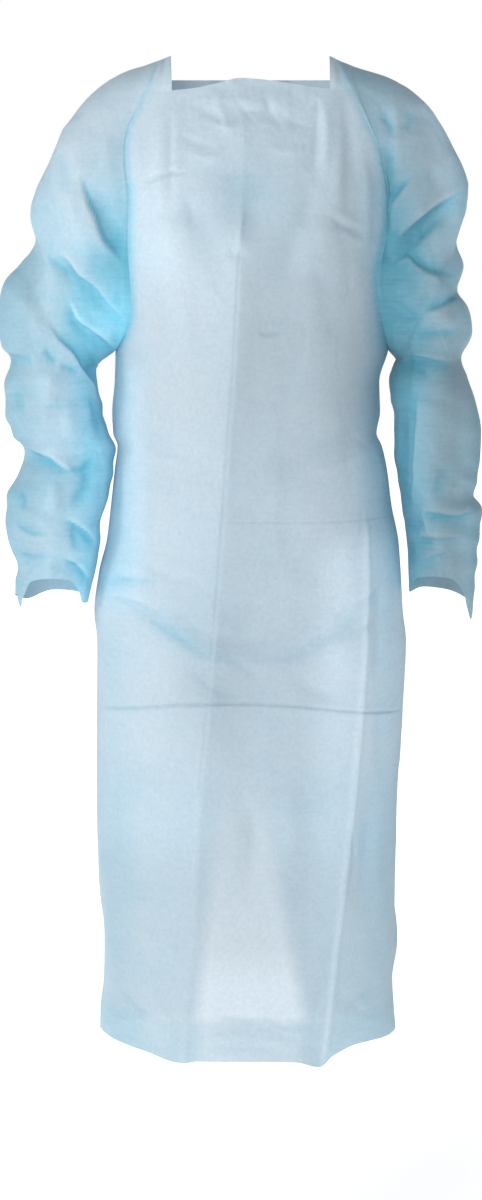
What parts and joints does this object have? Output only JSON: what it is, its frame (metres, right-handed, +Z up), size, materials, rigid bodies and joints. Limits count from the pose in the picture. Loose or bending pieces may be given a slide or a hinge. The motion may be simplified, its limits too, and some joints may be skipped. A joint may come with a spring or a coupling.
{
  "type": "sleeved apron",
  "caption": "Thin non-woven sleeved apron in its worn form, with a square neckline, bunched long sleeves, a lapped back and tied waist and neck.",
  "frame": {"origin": "midway between the two shoulder straps, level with the top of the shoulders, where the wearer's shoulders carry the garment", "axes": "+Z up along the wearer, -Y the way the front faces, +X the viewer's right when looking at the front"},
  "size_m": [0.557, 0.2648, 1.154],
  "materials": {
    "nonwoven": "matt light-blue non-woven backed with film, slightly translucent, finely embossed and pressed into fold lines"
  },
  "bodies": {
    "root": {"front_panel": "nonwoven", "back_panel_left": "nonwoven", "back_panel_right": "nonwoven", "sleeve_left": "nonwoven", "sleeve_right": "nonwoven", "waist_tie_left": "nonwoven", "waist_tie_right": "nonwoven", "waist_end_left": "nonwoven", "waist_end_right": "nonwoven", "waist_knot": "nonwoven", "neck_tie_left": "nonwoven", "neck_tie_right": "nonwoven", "neck_end_left": "nonwoven", "neck_end_right": "nonwoven", "neck_knot": "nonwoven"}
  },
  "joints": []
}
